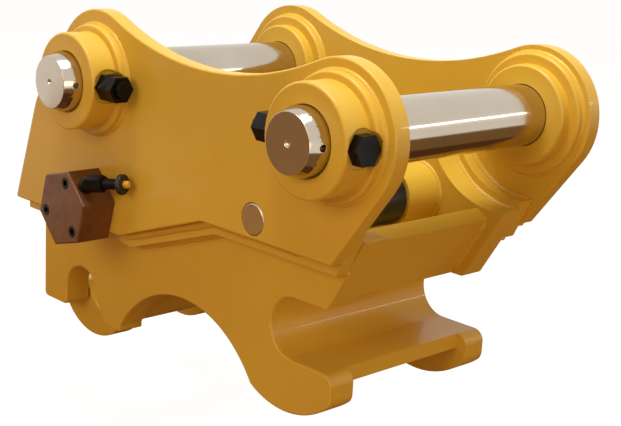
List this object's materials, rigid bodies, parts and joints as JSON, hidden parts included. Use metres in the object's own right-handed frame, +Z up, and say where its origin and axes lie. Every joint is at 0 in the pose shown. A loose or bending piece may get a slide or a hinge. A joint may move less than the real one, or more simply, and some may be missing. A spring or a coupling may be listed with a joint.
{
  "type": "excavator quick coupler",
  "caption": "Hydraulic quick coupler: two hump-shaped side plates with upper pins in bolted collars, an open front jaw, and a swinging rear hook on a hydraulic cylinder.",
  "frame": {"origin": "on the stick pin's axis, midway between the side plates", "axes": "+X runs to the link pin and the open front jaw, +Y runs along the stick pin to the left side, +Z is up"},
  "size_m": [0.6774, 0.4305, 0.458],
  "materials": {
    "yellow_paint": "gloss",
    "black_paint": "satin",
    "housing": "satin",
    "pin_steel": "brushed",
    "black_bolts": "black oxide",
    "chrome": "polished",
    "steel": "machined",
    "bronze": "machined",
    "spring_steel": "drawn wire",
    "seal": "matt",
    "cap": "matt",
    "cap_tip": "matt"
  },
  "bodies": {
    "frame": {"side_plate_right": "yellow_paint", "side_plate_left": "yellow_paint", "spacer_plate_right": "yellow_paint", "spacer_plate_left": "yellow_paint", "jaw_plate_right": "yellow_paint", "jaw_plate_left": "yellow_paint", "jaw_saddle": "yellow_paint", "front_crossbar": "yellow_paint", "rear_crossplate": "yellow_paint", "rear_boss_right": "yellow_paint", "rear_boss_left": "yellow_paint", "front_boss_right": "yellow_paint", "front_boss_left": "yellow_paint", "rear_inner_boss_right": "yellow_paint", "rear_inner_boss_left": "yellow_paint", "front_inner_boss_right": "yellow_paint", "front_inner_boss_left": "yellow_paint", "anchor_shaft": "pin_steel", "anchor_boss_right": "yellow_paint", "anchor_boss_left": "yellow_paint", "stick_pin": "pin_steel", "link_pin": "pin_steel", "pin_lock_bolts": "black_bolts", "pin_lock_nuts": "black_bolts", "hook_shaft": "steel", "lock_housing": "housing", "lock_screws": "black_bolts", "lock_spring": "spring_steel", "port_adaptor": "black_bolts", "port_cap": "cap", "port_cap_tip": "cap_tip"},
    "hook": {"hook_arm_right": "yellow_paint", "hook_arm_left": "yellow_paint", "hook_tube": "yellow_paint", "hook_seat_liner": "yellow_paint", "hook_web": "yellow_paint", "rod_lug_right": "yellow_paint", "rod_lug_left": "yellow_paint", "hook_bushes": "bronze", "thrust_washers": "bronze", "rod_pin": "steel", "rod_pin_clips": "spring_steel"},
    "barrel": {"cylinder_barrel": "black_paint", "cylinder_base": "black_paint", "cylinder_bush": "bronze", "cylinder_gland": "steel", "port_block": "black_paint"},
    "rod": {"piston": "steel", "piston_seal": "seal", "piston_nut": "steel", "piston_rod": "chrome", "rod_eye": "steel"},
    "plunger": {"lock_plunger": "steel"}
  },
  "joints": [
    {"name": "hook_swing", "type": "hinge", "parent": "frame", "child": "hook", "pos_m": [0.07, 0, -0.17], "axis": [0, -1, 0], "range_deg": [0, 36]},
    {"name": "barrel_swing", "type": "hinge", "parent": "frame", "child": "barrel", "pos_m": [0.293, 0, -0.109], "axis": [0, -1, 0], "range_deg": [0, 3.5]},
    {"name": "rod_slide", "type": "slide", "parent": "barrel", "child": "rod", "axis": [0.8749, 0, 0.4842], "range_m": [0, 0.0392]},
    {"name": "plunger_slide", "type": "slide", "parent": "frame", "child": "plunger", "axis": [0, 1, 0], "range_m": [0, 0.018]}
  ],
  "couplings": [
    {"joint": "barrel_swing", "follows": "hook_swing", "ratio": 0.095},
    {"joint": "rod_slide", "follows": "hook_swing", "m_per_rad": 0.062}
  ]
}
